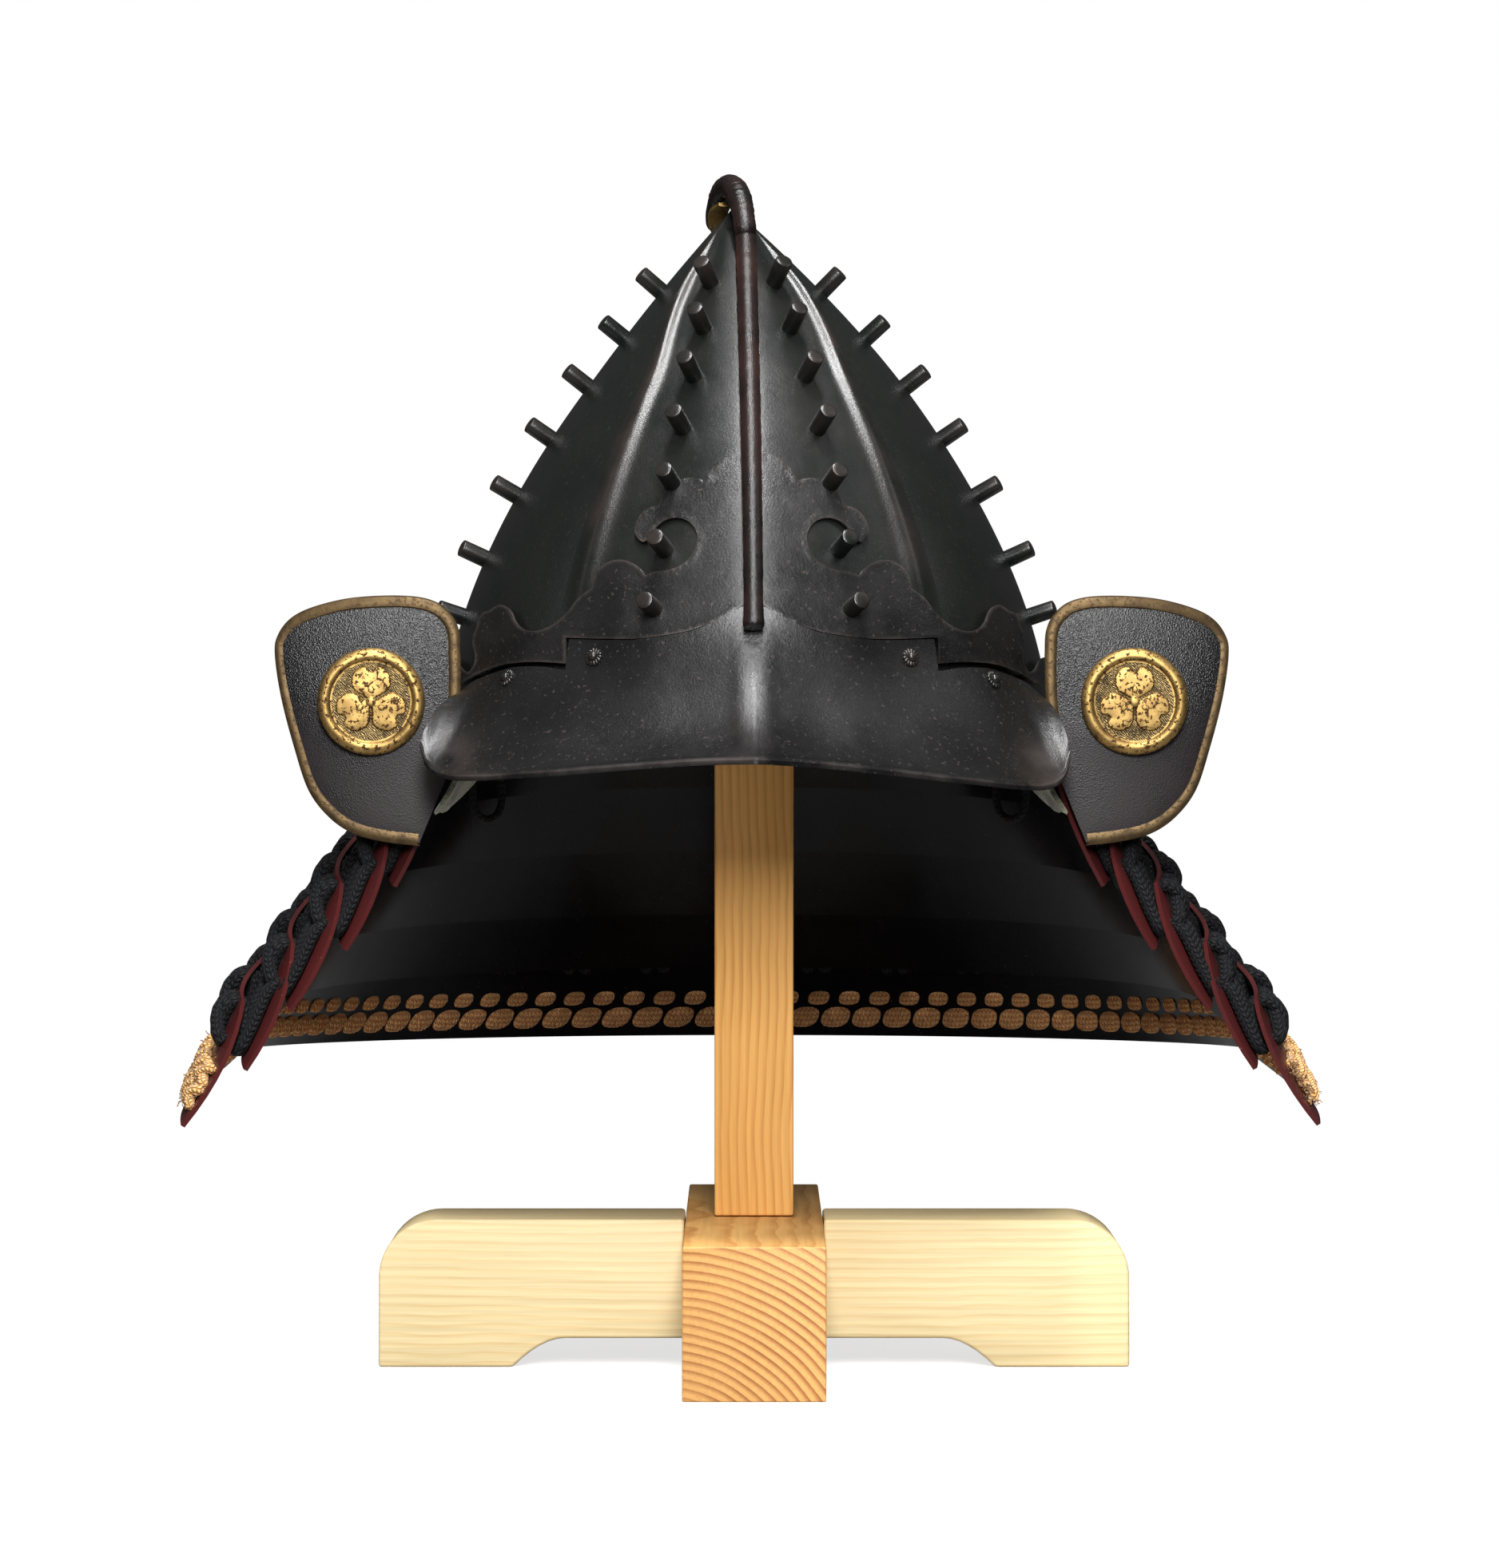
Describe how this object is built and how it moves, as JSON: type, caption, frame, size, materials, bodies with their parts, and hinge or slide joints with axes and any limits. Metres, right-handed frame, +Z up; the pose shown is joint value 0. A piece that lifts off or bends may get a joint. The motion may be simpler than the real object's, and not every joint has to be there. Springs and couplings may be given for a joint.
{
  "type": "kabuto samurai helmet on a plain wooden stand",
  "caption": "Pointed riveted iron helmet with peak, ridge rod, turned-back ear plates with crest discs and a laced flaring neck guard, held on a crossed wooden stand.",
  "frame": {"origin": "middle of the whole object's footprint box, on the surface it stands on", "axes": "+Z up, front of the helmet towards -Y, wearer's left towards +X"},
  "size_m": [0.4204, 0.3702, 0.4524],
  "materials": {
    "black_iron": "satin black lacquer over iron, rubbed brown along the ribs",
    "russet_iron": "dark russet lacquer over iron, worn glossy",
    "gilt_copper": "gilt copper, pitted brown",
    "dull_brass": "dull brass",
    "grained_leather": "black-brown grained leather",
    "lacquered_lame": "gloss black lacquer, maroon on the edges",
    "black_silk": "braided silk cord",
    "gold_silk": "orange-gold braided silk cord",
    "suede": "pale green suede",
    "pine": "planed pale pine"
  },
  "bodies": {
    "root": {"stand_cross_board": "pine", "stand_long_board": "pine", "stand_post": "pine", "bowl_front": "black_iron", "bowl_rear": "black_iron", "bowl_left": "black_iron", "bowl_right": "black_iron", "rivet_front_left_1": "black_iron", "rivet_side_left_1": "black_iron", "rivet_front_left_2": "black_iron", "rivet_side_left_2": "black_iron", "rivet_front_left_3": "black_iron", "rivet_side_left_3": "black_iron", "rivet_front_left_4": "black_iron", "rivet_side_left_4": "black_iron", "rivet_front_left_5": "black_iron", "rivet_side_left_5": "black_iron", "rivet_front_left_6": "black_iron", "rivet_side_left_6": "black_iron", "rivet_front_left_7": "black_iron", "rivet_side_left_7": "black_iron", "rivet_front_right_1": "black_iron", "rivet_side_right_1": "black_iron", "rivet_front_right_2": "black_iron", "rivet_side_right_2": "black_iron", "rivet_front_right_3": "black_iron", "rivet_side_right_3": "black_iron", "rivet_front_right_4": "black_iron", "rivet_side_right_4": "black_iron", "rivet_front_right_5": "black_iron", "rivet_side_right_5": "black_iron", "rivet_front_right_6": "black_iron", "rivet_side_right_6": "black_iron", "rivet_front_right_7": "black_iron", "rivet_side_right_7": "black_iron", "ridge_rod": "russet_iron", "crest_lining": "gilt_copper", "brow_plate": "black_iron", "visor": "black_iron", "turnback_left": "grained_leather", "turnback_rim_left": "dull_brass", "roundel_left": "gilt_copper", "turnback_right": "grained_leather", "turnback_rim_right": "dull_brass", "roundel_right": "gilt_copper", "lame_1": "lacquered_lame", "lame_2": "lacquered_lame", "lame_3": "lacquered_lame", "lame_4": "lacquered_lame", "lame_5": "lacquered_lame", "lacing_1": "black_silk", "lacing_2": "black_silk", "lacing_3": "black_silk", "lacing_4": "black_silk", "hem_lacing_inner": "gold_silk", "hem_lacing_outer": "gold_silk", "chin_loop_left": "black_silk", "temple_tab_left": "suede", "chin_loop_right": "black_silk", "temple_tab_right": "suede"}
  },
  "joints": []
}
